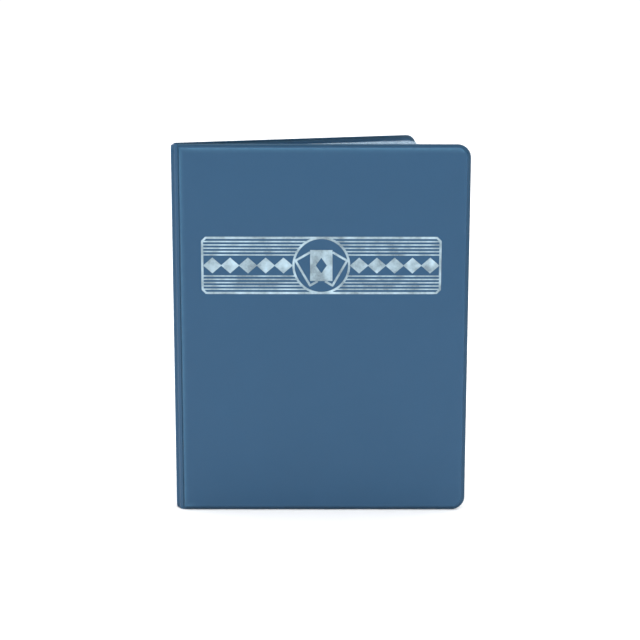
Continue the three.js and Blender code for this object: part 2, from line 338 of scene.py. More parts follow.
class Tree:
    """Makes and joins nodes in a node tree, from left to right."""

    def __init__(self, tree):
        self.tree = tree
        self.column = 0

    def add(self, kind, inputs=None, **settings):
        made = self.tree.nodes.new(kind)
        made.location = (self.column * 190, 0)
        self.column += 1
        for key, value in settings.items():
            setattr(made, key, value)
        for key, value in (inputs or {}).items():
            self.give(made.inputs[key], value)
        return made

    def give(self, socket, value):
        if isinstance(value, bpy.types.Node):
            value = value.outputs[0]
        if isinstance(value, bpy.types.NodeSocket):
            self.tree.links.new(value, socket)
        else:
            socket.default_value = value

    def math(self, operation, a, b=0.0):
        return self.add("ShaderNodeMath", {0: a, 1: b}, operation=operation)

    def plus(self, a, b):
        return self.math("ADD", a, b)

    def minus(self, a, b):
        return self.math("SUBTRACT", a, b)

    def times(self, a, b):
        return self.math("MULTIPLY", a, b)

    def vector(self, x=0.0, y=0.0, z=0.0):
        return self.add("ShaderNodeCombineXYZ", {0: x, 1: y, 2: z})


def new_material(name):
    """A material, its tree, and its shader's inputs."""
    made = bpy.data.materials.new(name)
    made.use_nodes = True
    tree = Tree(made.node_tree)
    tree.position = tree.add("ShaderNodeTexCoord").outputs["Object"]
    return made, tree, made.node_tree.nodes["Principled BSDF"].inputs


def noise(tree, scale, detail=3.0, stretch=(1, 1, 1)):
    """Noise whose scale is in features per metre, drawn out along an axis by a stretch below 1."""
    mapping = tree.add("ShaderNodeMapping", {"Vector": tree.position, "Scale": stretch})
    inputs = {"Vector": mapping, "Scale": scale, "Detail": detail}
    return tree.add("ShaderNodeTexNoise", inputs).outputs["Fac"]


def ramp(tree, value, low, high):
    """Value from 0 to 1 turned to between low and high."""
    inputs = {"Value": value, "To Min": low, "To Max": high}
    return tree.add("ShaderNodeMapRange", inputs).outputs["Result"]


def blend_colours(tree, share, first, second):
    mix = tree.add("ShaderNodeMix", data_type="RGBA")
    for index, value in ((0, share), (6, first), (7, second)):
        tree.give(mix.inputs[index], value)
    return mix.outputs[2]


def tint(base, factors):
    return tuple(min(c * f, 1) for c, f in zip(base, factors)) + (1,)


def shade(base, factor):
    return tint(base, (factor,) * 3)


def bump(tree, height, distance, strength=1.0, under=None):
    node = tree.add("ShaderNodeBump", {"Height": height, "Distance": distance, "Strength": strength})
    if under is not None:
        tree.give(node.inputs["Normal"], under)
    return node.outputs["Normal"]


def vinyl_material(name, base, grain=900.0, depth=0.00003, gloss=0.43):
    """Calendered vinyl: fine leather grain, softly mottled, darker and glossier where it is welded,
    and with a painted highlight, paler and broken up by noise, along its raised edges."""
    made, tree, inputs = new_material(name)
    mottled = blend_colours(tree, noise(tree, 22, 4), shade(base, 0.94), shade(base, 1.07))
    speckled = blend_colours(tree, noise(tree, 1500, 2), shade(base, 0.9), mottled)
    seal = tree.add("ShaderNodeAttribute", attribute_name="seal").outputs["Fac"]
    edge = tree.add("ShaderNodeAttribute", attribute_name="edge").outputs["Fac"]
    # Painted highlight: where the edge attribute is high, broken up by noise, the colour is mixed towards a pale
    # tint.
    highlit = tree.times(edge, ramp(tree, noise(tree, 160, 5), 0.3, 1.0))
    sealed = blend_colours(tree, seal, speckled, tint(base, (0.86, 0.84, 0.72)))
    painted_highlight = tint(base, (3.0, 2.1, 1.65))
    tree.give(inputs["Base Color"], blend_colours(tree, highlit, sealed, painted_highlight))
    matt = ramp(tree, noise(tree, 60, 5), gloss - 0.06, gloss + 0.07)
    tree.give(inputs["Roughness"], tree.minus(matt, tree.times(seal, 0.1)))
    at = {"Vector": tree.position, "Scale": grain}
    cells = tree.add("ShaderNodeTexVoronoi", at, feature="SMOOTH_F1")
    leather = bump(tree, cells.outputs["Distance"], depth, 0.6)
    tree.give(inputs["Normal"], bump(tree, noise(tree, 2600, 3), depth * 0.6, 0.5, leather))
    inputs["Specular IOR Level"].default_value = 0.35
    return made


def film_material(name, base, opacity):
    """Clear film: a faint milky tint, fine drawing lines and slow ripples."""
    made, tree, inputs = new_material(name)
    streaks = noise(tree, 90, 4, (1, 1, 0.08))
    tree.give(inputs["Base Color"], blend_colours(tree, streaks, shade(base, 0.93), shade(base, 1.05)))
    tree.give(inputs["Roughness"], ramp(tree, noise(tree, 300, 4), 0.1, 0.24))
    slow = bump(tree, noise(tree, 14, 2), 0.0012, 0.5)
    tree.give(inputs["Normal"], bump(tree, streaks, 0.00006, 0.4, slow))
    inputs["Alpha"].default_value = opacity
    return made


def foil_material(name, base):
    """Hot-stamped foil: metal whose colour holds painted reflection, soft clouds of bright reflection over finer
    dim patches, with a slightly uneven face.
    """
    made, tree, inputs = new_material(name)
    # Painted reflection: noise mixes the foil's colour between dim and bright reflected tones.
    bright_reflection = ramp(tree, noise(tree, 95, 5), -1.1, 1.9)
    dim_reflection = blend_colours(tree, noise(tree, 900, 3), shade(base, 0.4), shade(base, 1.0))
    tree.give(inputs["Base Color"], blend_colours(tree, bright_reflection, dim_reflection, shade(base, 1.5)))
    tree.give(inputs["Roughness"], ramp(tree, noise(tree, 700, 4), 0.2, 0.5))
    dents = bump(tree, noise(tree, 140, 3), 0.0004, 0.6)
    tree.give(inputs["Normal"], bump(tree, noise(tree, 420, 4), 0.00005, 0.7, dents))
    inputs["Metallic"].default_value = 0.85
    return made


def board_material(name):
    """Grey chipboard with flecks and fibres."""
    made, tree, inputs = new_material(name)
    drawn = noise(tree, 500, 6, (1, 1, 0.2))
    fibres = blend_colours(tree, drawn, (0.24, 0.2, 0.15, 1), (0.4, 0.36, 0.29, 1))
    flecks = tree.math("GREATER_THAN", noise(tree, 900, 2), 0.68)
    tree.give(inputs["Base Color"], blend_colours(tree, flecks, fibres, (0.1, 0.08, 0.07, 1)))
    tree.give(inputs["Roughness"], ramp(tree, noise(tree, 300, 3), 0.82, 0.97))
    tree.give(inputs["Normal"], bump(tree, noise(tree, 1200, 4), 0.0001, 0.8))
    return made


def binding_material(name, base):
    """Moulded strip with fine lengthwise drawing lines."""
    made, tree, inputs = new_material(name)
    lines = noise(tree, 1600, 3, (1, 1, 0.02))
    tree.give(inputs["Base Color"], blend_colours(tree, lines, shade(base, 0.6), shade(base, 0.9)))
    tree.give(inputs["Roughness"], ramp(tree, noise(tree, 250, 3), 0.38, 0.55))
    tree.give(inputs["Normal"], bump(tree, lines, 0.00008, 0.5))
    return made


def shared(name, make, *arguments):
    """The material of that name, which is made the first time."""
    return bpy.data.materials.get(name) or make(name, *arguments)


def vinyl(case):
    return shared("Vinyl", vinyl_material, case.vinyl)


def lining_vinyl(case):
    return shared("Lining vinyl", vinyl_material, case.liner, 1300.0, 0.00002, 0.5)


# ---- geometry nodes ----


def geometry_tree(name, sockets):
    """A geometry node tree with a geometry input and output and the named inputs in sockets."""
    group = bpy.data.node_groups.new(name, "GeometryNodeTree")
    group.interface.new_socket("Geometry", in_out="INPUT", socket_type="NodeSocketGeometry")
    group.interface.new_socket("Geometry", in_out="OUTPUT", socket_type="NodeSocketGeometry")
    for socket, kind in sockets.items():
        group.interface.new_socket(socket, in_out="INPUT", socket_type=f"NodeSocket{kind}")
    tree = Tree(group)
    tree.source = tree.add("NodeGroupInput")
    return group, tree


def set_mode(node, mode):
    """Sets a node's mode, whether it is a property or a menu input."""
    if hasattr(node, "mode"):
        node.mode = mode
    else:
        node.inputs["Mode"].default_value = mode


def finish_tree(tree, geometry):
    """Realizes the instances, sets the material and joins the group's output."""
    real = tree.add("GeometryNodeRealizeInstances", {"Geometry": geometry})
    paint = tree.source.outputs["Material"]
    painted = tree.add("GeometryNodeSetMaterial", {"Geometry": real, "Material": paint})
    tree.add("NodeGroupOutput", {"Geometry": painted})


def run_tree(name, base, group, values):
    """Runs a tree on a mesh or curve and gives its result as a plain object."""
    obj = make_object(name + "_source", base)
    modifier = obj.modifiers.new("Build", "NODES")
    modifier.node_group = group
    for item in group.interface.items_tree:
        if item.in_out == "INPUT" and item.name in values:
            modifier[item.identifier] = values[item.name]
    depsgraph = bpy.context.evaluated_depsgraph_get()
    mesh = bpy.data.meshes.new_from_object(obj.evaluated_get(depsgraph), depsgraph=depsgraph)
    bpy.data.objects.remove(obj)
    if not mesh.polygons:
        raise RuntimeError(f"{name}: its node tree made no faces")
    mesh.name = name
    return mesh


def path_curve(name, paths):
    """A curve of straight runs through points in millimetres. Each path is (points, closed)."""
    curve = bpy.data.curves.new(name, "CURVE")
    curve.dimensions = "3D"
    for points, closed in paths:
        spline = curve.splines.new("POLY")
        spline.points.add(len(points) - 1)
        spline.points.foreach_set("co", np.array([(*p, 1.0) for p in points]).ravel())
        spline.use_cyclic_u = closed
    return curve


def dot_tree():
    """Presses a flat six-sided dot at equal steps along every path, as a sealing tool does."""
    sockets = {"Spacing": "Float", "Radius": "Float", "Height": "Float", "Material": "Material"}
    group, tree = geometry_tree("Seam dots", sockets)
    given = tree.source.outputs
    at = {"Curve": given["Geometry"], "Length": given["Spacing"]}
    points = tree.add("GeometryNodeCurveToPoints", at, mode="LENGTH")
    form = {"Vertices": 6, "Radius": given["Radius"], "Depth": given["Height"]}
    dot = tree.add("GeometryNodeMeshCylinder", form)
    placed = {"Points": points.outputs["Points"], "Instance": dot.outputs["Mesh"]}
    finish_tree(tree, tree.add("GeometryNodeInstanceOnPoints", placed))
    return group


OVERLAP = 0.3  # of one part of the foil on the next, in mm
BAR_STEPS = 40  # points along a pinstripe, so that it follows the skin


def stamp_tree():
    """Sweeps the foil's line along its paths, and lays pinstripes and a band of diamonds between the
    frame and the ring. X runs along, Y up and Z out of the cover."""
    sizes = dict.fromkeys(("Width", "Height", "Line", "Bar", "Band", "Radius", "Relief"), "Float")
    sockets = {**sizes, "Bars": "Int", "Diamonds": "Int", "Material": "Material"}
    group, tree = geometry_tree("Foil stamp", sockets)
    given = tree.source.outputs
    plus, minus, times, vector = tree.plus, tree.minus, tree.times, tree.vector
    half_line = times(given["Line"], 0.5)
    half_width = times(given["Width"], 0.5)
    half_band = times(given["Band"], 0.5)
    joined = tree.add("GeometryNodeJoinGeometry")

    # The frame, the ring and the card outlines.
    section = {"Width": given["Line"], "Height": given["Relief"]}
    profile = tree.add("GeometryNodeCurvePrimitiveQuadrilateral", section)
    upright = tree.add("GeometryNodeSetCurveNormal", {"Curve": given["Geometry"]})
    set_mode(upright, "Z_UP")
    swept = {"Curve": upright, "Profile Curve": profile, "Fill Caps": True}
    tree.give(joined.inputs[0], tree.add("GeometryNodeCurveToMesh", swept))

    # A pinstripe, one long unit before it is stretched. Its length and place follow from the ring's
    # chord at its height.
    zone = minus(times(given["Height"], 0.5), plus(half_line, half_band))
    pitch = tree.math("DIVIDE", plus(zone, given["Bar"]), plus(given["Bars"], 1.0))
    lowest = plus(half_band, minus(pitch, times(given["Bar"], 0.5)))
    y = tree.add("ShaderNodeSeparateXYZ", {0: tree.add("GeometryNodeInputPosition")}).outputs["Y"]
    squared = minus(tree.math("POWER", given["Radius"], 2.0), tree.math("POWER", y, 2.0))
    chord = tree.math("SQRT", tree.math("MAXIMUM", squared, 0.0))
    length = minus(half_width, chord)
    middle = plus(chord, times(length, 0.5))
    block = {"Size": vector(1.0, given["Bar"], given["Relief"]), "Vertices X": BAR_STEPS}
    bar = tree.add("GeometryNodeMeshCube", block).outputs["Mesh"]

    # A diamond. A row of them fills the room from the ring to the frame.
    inner = plus(given["Radius"], half_line)
    cell = tree.math("DIVIDE", minus(half_width, plus(inner, half_line)), given["Diamonds"])
    form = {"Vertices": 4, "Radius": 1.0, "Depth": given["Relief"]}
    diamond = tree.add("GeometryNodeMeshCylinder", form).outputs["Mesh"]
    flat = vector(plus(times(cell, 0.5), OVERLAP), half_band, 1.0)

    for side in (-1.0, 1.0):
        for level in (-1.0, 1.0):
            line = {
                "Count": given["Bars"],
                "Start Location": vector(y=times(lowest, level)),
                "Offset": vector(y=times(pitch, level)),
            }
            column = tree.add("GeometryNodeMeshLine", line, mode="OFFSET")
            shift = {"Geometry": column, "Offset": vector(times(middle, side))}
            moved = tree.add("GeometryNodeSetPosition", shift)
            laid = {"Points": moved, "Instance": bar, "Scale": vector(length, 1.0, 1.0)}
            tree.give(joined.inputs[0], tree.add("GeometryNodeInstanceOnPoints", laid))
        line = {
            "Count": given["Diamonds"],
            "Start Location": vector(times(plus(inner, times(cell, 0.5)), side)),
            "Offset": vector(times(cell, side)),
        }
        row = tree.add("GeometryNodeMeshLine", line, mode="OFFSET")
        laid = {"Points": row, "Instance": diamond, "Scale": flat}
        tree.give(joined.inputs[0], tree.add("GeometryNodeInstanceOnPoints", laid))
    finish_tree(tree, joined)
    return group


# ---- the case ----


def finish_piece(name, mesh, paint, body, slot, *replaced):
    """Shows a finished piece, lets it ride on its body, and hides the nodes that it stands for."""
    obj = make_object(name, mesh, paint)
    if replaced:
        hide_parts(*replaced)
    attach(obj, body)


SKIN_THICKNESS = LINER_THICKNESS = 0.5
CORNER = 11.0  # radius of a cover's free corners
SIDE_RIM = 0.4  # flat rim beside a hinge
WALL = 0.9  # width of the slope from a welded rim to the raised panel
SPINE_WALL = 1.2  # the same at the spine's ends
WALL_STEPS = (0.08, 0.2, 0.35, 0.5, 0.65, 0.8, 0.9, 1.0)
FOOT = 0.02  # height of the slope's foot above the rim
HIGHLIGHT_FROM = 2 / 3  # share of the slope from which its upper part gets the painted highlight


def slope(wall_start, width, flange, top, seal):
    """Rows of a profile up the slope from a rim to a panel."""
    rows = []
    foot = flange + FOOT
    for t in WALL_STEPS:
        height = foot + (top - foot) * float(smoothstep(t))
        # The painted highlight grows over the slope's upper part.
        highlit = max(0.0, (t - HIGHLIGHT_FROM) / (1 - HIGHLIGHT_FROM))
        rows.append((wall_start + width * t, SIDE_RIM + WALL * t, height, seal * (1 - t), highlit))
    return rows


def rim_profile(settings, flange, top, wall_end):
    """The face of a skin from its cut edge to its panel, in rows of (distance in, distance in beside a
    hinge, height, seal, painted edge highlight). The rim beside a hinge is narrower, so the distances there are
    shorter."""
    wall_start = wall_end - WALL
    groove = flange - settings.groove
    profile = [
        (0.0, 0.0, flange - 0.3, 1.0, 0.2),
        (0.12, 0.04, flange - 0.1, 1.0, 0.3),
        (0.35, 0.1, flange, 0.9, 0.1),
        (0.8, 0.16, flange, 0.7, 0.0),
        (1.05, 0.22, groove, 0.5, 0.0),
        (wall_start - 0.75, 0.3, groove, 0.4, 0.0),
        (wall_start - 0.45, 0.35, flange, 0.25, 0.1),
        (wall_start, SIDE_RIM, flange + FOOT, 0.25, 0.0),
    ]
    profile += slope(wall_start, WALL, flange, top, 0.25)
    side = SIDE_RIM + WALL
    # The ridge over the board's edge gets the most painted highlight.
    for step, share, edge in ((0.4, 0.7, 1.0), (1.0, 1.0, 0.7), (2.2, 0.4, 0.25), (4.2, 0.0, 0.0)):
        profile.append((wall_end + step, side + step, top + settings.ridge * share, 0.0, edge))
    return profile


def spine_profile(settings, flange, top, wall_end):
    """The same for the spine, whose panel runs almost to its ends."""
    wall_start = wall_end - SPINE_WALL
    # Rows as in rim_profile; the last column is the painted highlight, strong along the cut edge.
    profile = [
        (0.0, 0.0, flange - 0.3, 0.2, 0.7),
        (0.12, 0.05, flange - 0.1, 0.3, 0.9),
        (0.3, 0.18, flange, 0.6, 0.3),
        (wall_start, SIDE_RIM, flange + FOOT, 0.6, 0.0),
    ]
    profile += slope(wall_start, SPINE_WALL, flange, top, 0.3)
    side = SIDE_RIM + WALL
    # The spine's ridge gets some painted highlight.
    for step, share, edge in ((0.4, 0.35, 0.9), (1.0, 0.5, 0.5)):
        profile.append((wall_end + step, side + step, top + settings.ridge * share, 0.0, edge))
    return profile


FIRST_STEP, STEP_GROWTH, LONGEST_STEP = 4.0, 1.35, 16.0  # of the rows across a panel


def panel_steps(first, last):
    """Distances further in from a rim, each step longer than the one before."""
    steps, step = [], FIRST_STEP
    while first + step < last - FIRST_STEP / 2:
        first += step
        steps.append(first)
        step = min(step * STEP_GROWTH, LONGEST_STEP)
    return steps + [last]


RIM_END = 8.0  # from the free edge to where the panel is plain
RIM_DIFFERENCE = 2.5  # how much sooner that is beside a hinge
SWELL_WIDTH = 70.0  # over which a panel rises to its crown
UNEVENNESS, EVEN_WIDTH = 0.05, 12.0  # of a panel, and the width over which it begins


def panel_lift(settings, box):
    """How far a cover's panel is raised at (x, z): a slow swell, and a little unevenness."""

    def lift(x, z):
        inwards = min(box[1] - x, z - box[2], box[3] - z, x - box[0] + RIM_DIFFERENCE) - RIM_END
        swell = settings.crown * float(smoothstep(inwards / SWELL_WIDTH))
        uneven = UNEVENNESS * float(smoothstep(inwards / EVEN_WIDTH))
        return swell + uneven * float(ripple(x, z))

    return lift


def cover_sheet(name, place, corners, profile, level, thickness, lift=None):
    """A cover's skin or liner: its rim's profile, then rows at one level in to the middle."""
    lo, hi = corners
    inwards, beside = profile[-1][:2]
    for distance in panel_steps(inwards, (hi[0] - lo[0] + inwards - beside) / 2):
        profile.append((distance, distance - inwards + beside, level, 0.0, 0.0))
    rings = [((s, d, d, max(CORNER - d, 0.0)), h, seal, edge) for d, s, h, seal, edge in profile]
    return sealed_sheet(name, place, box_of(corners), rings, thickness, lift)


def cover_skin(name, place, node, board, settings):
    lo, hi = corners = span(node, place)
    board_lo, _ = span(board, place)
    profile = rim_profile(settings, lo[1] + SKIN_THICKNESS, hi[1], board_lo[2] - lo[2])
    lift = panel_lift(settings, box_of(corners))
    return cover_sheet(name, place, corners, profile, hi[1], SKIN_THICKNESS, lift)


def cover_liner(name, place, node, settings):
    """The inner sheet, whose face looks inwards, so its heights run the other way."""
    corners = span(node, place)
    face = corners[0][1]
    # Rows of (distance in, distance in beside a hinge, height, seal, painted edge highlight).
    profile = [
        (0.0, 0.0, face + 0.12, 0.3, 0.6),
        (0.25, 0.1, face, 0.3, 0.5),
        (0.9, 0.3, face, 0.6, 0.0),
        (1.15, 0.4, face + settings.groove, 1.0, 0.0),
        (2.1, 0.7, face + settings.groove, 1.0, 0.0),
        (2.4, 0.8, face, 0.6, 0.1),
        (3.4, 1.3, face - 0.02, 0.1, 0.0),
        (4.4, 2.3, face - 0.08, 0.0, 0.3),
        (6.4, 4.3, face - 0.03, 0.0, 0.0),
    ]
    return cover_sheet(name, place, corners, profile, profile[-1][2], -LINER_THICKNESS)


SPINE_CROWN = 0.12
SPINE_PLAIN = 0.6  # least width of the spine's plain middle, on each side


def spine_sheet(name, place, node, profile, thickness, crown):
    """A narrow panel with a hinge on each side."""
    lo, hi = corners = span(node, place)
    half = (hi[0] - lo[0]) / 2
    rows = [row for row in profile if row[1] < half - SPINE_PLAIN]
    inwards, beside, top = rows[-1][:3]
    for share in (0.4, 0.75, 1.0):
        across = beside + (half - beside) * share
        rows.append((inwards + across - beside, across, top + crown * share * (2 - share), 0.0, 0.0))
    rings = [((s, s, d, 0.0), h, seal, edge) for d, s, h, seal, edge in rows]
    return sealed_sheet(name, place, box_of(corners), rings, thickness)


class ALBUM_OT_covers(bpy.types.Operator):
    """Makes the skin and the liner of each cover"""

    bl_idname = "album.covers"
    bl_label = "Covers"

    def execute(self, context):
        case = context.scene.album_case
        for side, place in (("front", front_frame()), ("back", back_frame())):
            body, skin, liner = f"{side}_cover", f"{side}_skin", f"{side}_liner"
            mesh = cover_skin(f"{skin}_sheet", place, skin, f"{side}_board", case)
            finish_piece(f"{body}_skin", mesh, vinyl(case), body, "vinyl", skin)
            mesh = cover_liner(f"{liner}_sheet", place, liner, case)
            finish_piece(f"{body}_liner", mesh, lining_vinyl(case), body, "liner", liner)
        return {"FINISHED"}


class ALBUM_OT_spine(bpy.types.Operator):
    """Makes the skin and the liner of the spine"""

    bl_idname = "album.spine"
    bl_label = "Spine"

    def execute(self, context):
        case = context.scene.album_case
        place = spine_frame()
        lo, hi = span("spine_skin", place)
        board_lo, _ = span("spine_board", place)
        profile = spine_profile(case, lo[1] + SKIN_THICKNESS, hi[1], board_lo[2] - lo[2])
        mesh = spine_sheet("spine_skin_sheet", place, "spine_skin", profile, SKIN_THICKNESS, SPINE_CROWN)
        finish_piece("spine_outer_skin", mesh, vinyl(case), "spine", "vinyl", "spine_skin")
        face = span("spine_liner", place)[0][1]
        # Rows as for the cover's liner; the last column is the painted highlight.
        profile = [
            (0.0, 0.0, face + 0.1, 0.4, 0.5),
            (0.3, 0.15, face, 0.3, 0.2),
            (1.2, 0.6, face, 0.0, 0.0),
        ]
        mesh = spine_sheet("spine_liner_sheet", place, "spine_liner", profile, -LINER_THICKNESS, 0.0)
        finish_piece("spine_inner_liner", mesh, lining_vinyl(case), "spine", "liner", "spine_liner")
        return {"FINISHED"}


class ALBUM_OT_hinges(bpy.types.Operator):
    """Makes the two living hinges, each bent on an arc from the spine to its cover as it stands at rest"""

    bl_idname = "album.hinges"
    bl_label = "Living hinges"

    def execute(self, context):
        paint = vinyl(context.scene.album_case)
        middle = (hinge_point("front_hinge") + hinge_point("back_hinge")) / 2
        for side, place in (("front", front_frame()), ("back", back_frame())):
            pivot = hinge_point(f"{side}_hinge")
            to_spine = (middle - pivot).normalized()
            along_cover = place @ Vector((ANY_DISTANCE, 0, 0)) / MM
            to_cover = (along_cover - pivot).normalized()
            lo, hi = span(f"{side}_skin", place)
            reach = abs(lo[0]) - HINGE_GAP
            mesh = hinge_web(f"{side}_web_sheet", pivot, to_spine, to_cover, reach, (lo[2], hi[2]))
            obj = make_object(f"{side}_living_hinge", mesh, paint)
            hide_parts(f"{side}_hinge_web")
            start, end = (pivot + to_spine * reach) * MM, (pivot + to_cover * reach) * MM
            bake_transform(obj)
            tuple(start)
            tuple(end)
        return {"FINISHED"}


ANY_DISTANCE = 100.0  # along a cover, to find its direction
HINGE_GAP = 0.2  # between a stiff panel and the bending band
OVER_GAP = 0.9  # share of the gap that the band's ends reach over
WEB_IN, WEB_OUT = 0.25, 0.58  # the band's faces, from the hinge plane
FLANGE_OUT = 0.9
# Of the band's width: points across it, and a little past each end.
WEB_STEPS, PAST_END = 25, 0.001
RIM_FROM, RIM_WIDTH = 0.36, 0.12  # where the band thickens to its rims, from its middle
SCORE_AT, SCORE_WIDTH, SCORE_DEPTH = 0.22, 0.035, 0.13  # its two score lines; the depth is in mm
RIM_SEAL, SCORE_SEAL = 0.6, 3.0
WEB_ROWS = 30
TUCK, TUCK_HEIGHT = 0.12, 0.35  # how far the band's cut ends are drawn in, and over what height


def hinge_web(name, pivot, to_spine, to_cover, reach, ends):
    """A band bent on one arc from the spine's plane to the cover's, with two pressed score lines."""
    half_angle = to_spine.angle(to_cover) / 2
    centre = pivot + (to_spine + to_cover).normalized() * (reach / math.cos(half_angle))
    radius = reach * math.tan(half_angle)
    first = (pivot + to_spine * reach - centre).normalized()
    last = (pivot + to_cover * reach - centre).normalized()
    sweep = first.angle(last)
    outer, inner = [], []
    for t in np.concatenate([[-PAST_END], np.linspace(0, 1, WEB_STEPS), [1 + PAST_END]]):
        share = min(max(t, 0.0), 1.0)
        direction = first * math.sin((1 - share) * sweep) + last * math.sin(share * sweep)
        direction = direction / math.sin(sweep)
        past = HINGE_GAP * OVER_GAP if not 0 <= t <= 1 else 0.0
        over = (to_spine if t < 0.5 else to_cover) * past
        from_middle = abs(share - 0.5)
        rim = float(smoothstep((from_middle - RIM_FROM) / RIM_WIDTH))
        score = SCORE_DEPTH * math.exp(-(((from_middle - SCORE_AT) / SCORE_WIDTH) ** 2))
        face = WEB_OUT + (FLANGE_OUT - WEB_OUT) * rim - score
        seal = min(RIM_SEAL * rim + score * SCORE_SEAL, 1.0)
        outer.append((centre + direction * (radius + face) + over, seal))
        inner.append((centre + direction * (radius - WEB_IN) + over, 0.0))
    section = outer + inner[::-1]
    plain = np.linspace(*ends, WEB_ROWS)[1:-1]
    heights = [ends[0], ends[0] + TUCK_HEIGHT, *plain, ends[1] - TUCK_HEIGHT, ends[1]]
    points, seals = [], []
    for z in heights:
        tuck = TUCK if z in ends else 0.0
        for point, seal in section:
            drawn = point + (centre - point).normalized() * tuck
            points.append((drawn.x, drawn.y, z))
            seals.append(seal)
    count = len(section)
    top = (len(heights) - 1) * count
    faces = [tuple(range(count)), tuple(range(top, top + count))[::-1]]
    for k in range(len(heights) - 1):
        faces += band(k * count, (k + 1) * count, count)
    attributes = {"seal": seals, "edge": [0.0] * len(points)}
    return mesh_from(name, points, faces, Matrix.Scale(MM, 4), attributes)


# ---- the foil stamp ----


CARD_TURNS = (30, -30, 0)  # how far each card in the ring is turned, the front one last
CARD_SHAPE = 63.5 / 89.0  # a card's width over its height
CARD_SHARE = 0.54  # share of the stamp's height that a card takes
CARD_PIVOT = 0.34  # and share from the ring's middle down to the point that the cards turn on
CORNER_CUT = 3.4  # how much of each of the frame's corners is cut off, each way
EDGE_OF_CUT = 0.53  # how much shorter a cut is on the middle of the frame's line than on its edge
# How far each part of the foil stands above the pinstripes, in mm, so that no two faces are level.
FRAME_RISE, RING_RISE, CARD_RISE, FRONT_RISE = 0.008, 0.014, 0.022, 0.03
CARD_TILT = 0.0001  # added to a card's rise for each degree of its turn
WINDOW = 0.5  # share of the front card that its diamond window takes, each way
CIRCLE_STEPS, CARD_STEPS = 96, 30  # points round the ring, and on each edge of a card
FRAME_STEP = 4.0  # between the points on the frame
CLEAR_OF_SKIN = 20.0  # where the rays to the skin start
CORNERS = ((-1, -1), (1, -1), (1, 1), (-1, 1))


def frame_path(half_width, half_height):
    """A rectangle with its corners cut off, as many close points."""
    cut = CORNER_CUT - EDGE_OF_CUT
    corners = []
    for sx, sy in ((1, -1), (1, 1), (-1, 1), (-1, -1)):
        along = Vector((sx * (half_width - cut), sy * half_height))
        beside = Vector((sx * half_width, sy * (half_height - cut)))
        corners += (along, beside) if sx * sy < 0 else (beside, along)
    points = []
    for here, after in zip(corners, corners[1:] + corners[:1]):
        count = max(1, round((after - here).length / FRAME_STEP))
        points += [(*here.lerp(after, k / count), FRAME_RISE) for k in range(count)]
    return points


def turned(x, y, pivot, degrees):
    """A point that is turned about the one at pivot below the middle."""
    turn = math.radians(degrees)
    up = y + pivot
    return x * math.cos(turn) - up * math.sin(turn), x * math.sin(turn) + up * math.cos(turn) - pivot


def card_path(half_width, half_height, pivot, degrees):
    """The outline of a turned card, as many close points."""
    points = []
    for (ax, ay), (bx, by) in zip(CORNERS, CORNERS[1:] + CORNERS[:1]):
        for step in range(CARD_STEPS):
            x = (ax + (bx - ax) * step / CARD_STEPS) * half_width
            y = (ay + (by - ay) * step / CARD_STEPS) * half_height
            points.append((*turned(x, y, pivot, degrees), CARD_RISE + degrees * CARD_TILT))
    return points


def inside_card(point, half_width, half_height, pivot, degrees):
    x, y = turned(point[0], point[1], pivot, -degrees)
    return abs(x) < half_width and abs(y) < half_height


def visible_runs(points, hidden):
    """The stretches of a closed path that aren't hidden, as open paths."""
    keep = [not hidden(p) for p in points]
    if all(keep):
        return [(points, True)]
    start = keep.index(False)
    runs, run = [], []
    for i in range(len(points) + 1):
        k = (start + i) % len(points)
        if keep[k]:
            run.append(points[k])
        elif run:
            runs.append((run, False))
            run = []
    return [r for r in runs if len(r[0]) > 2]


def windowed_card(mesh, half_width, half_height, relief):
    """Adds a solid card with a diamond cut out of its middle, in faces that can follow the skin."""
    corners = [(1, -1), (1, 1), (-1, 1), (-1, -1)]
    middles = [(0, -1), (1, 0), (0, 1), (-1, 0)]
    slants = [(x / 2, y / 2) for x, y in corners]
    flat = [(x * half_width, y * half_height) for x, y in corners + middles]
    flat += [(x * half_width * WINDOW, y * half_height * WINDOW) for x, y in middles + slants]
    bm = bmesh.new()
    levels = (FRONT_RISE - relief / 2, FRONT_RISE + relief / 2)
    low, high = ([bm.verts.new((x, y, z)) for x, y in flat] for z in levels)
    for k in range(4):
        after = (k + 1) % 4
        for loop in ((4 + k, k, 12 + k, 8 + k), (k, 4 + after, 8 + after, 12 + k)):
            bm.faces.new([high[i] for i in loop])
            bm.faces.new([low[i] for i in reversed(loop)])
        for i, j in ((4 + k, k), (k, 4 + after), (8 + after, 12 + k), (12 + k, 8 + k)):
            bm.faces.new((low[i], low[j], high[j], high[i]))
    edges = [e for e in bm.edges if e.verts[0].co.z == e.verts[1].co.z]
    bmesh.ops.subdivide_edges(bm, edges=edges, cuts=3, use_grid_fill=True)
    bm.from_mesh(mesh)
    bm.to_mesh(mesh)
    bm.free()


def laid_on(skin, place, mesh, centre):
    """Moves a flat pattern, drawn about its centre with Z outwards, onto a skin's real surface."""
    bm = bmesh.new()
    bm.from_mesh(skin)
    surface = BVHTree.FromBMesh(bm)
    bm.free()
    inwards = -(place.to_3x3() @ Vector((0, 1, 0))).normalized()
    for vertex in mesh.vertices:
        along, up, out = vertex.co
        start = place @ Vector((centre[0] + along, CLEAR_OF_SKIN, centre[1] + up))
        hit = surface.ray_cast(start, inwards)[0]
        if hit is None:
            raise RuntimeError("the foil reaches past the skin")
        vertex.co = hit - inwards * out * MM


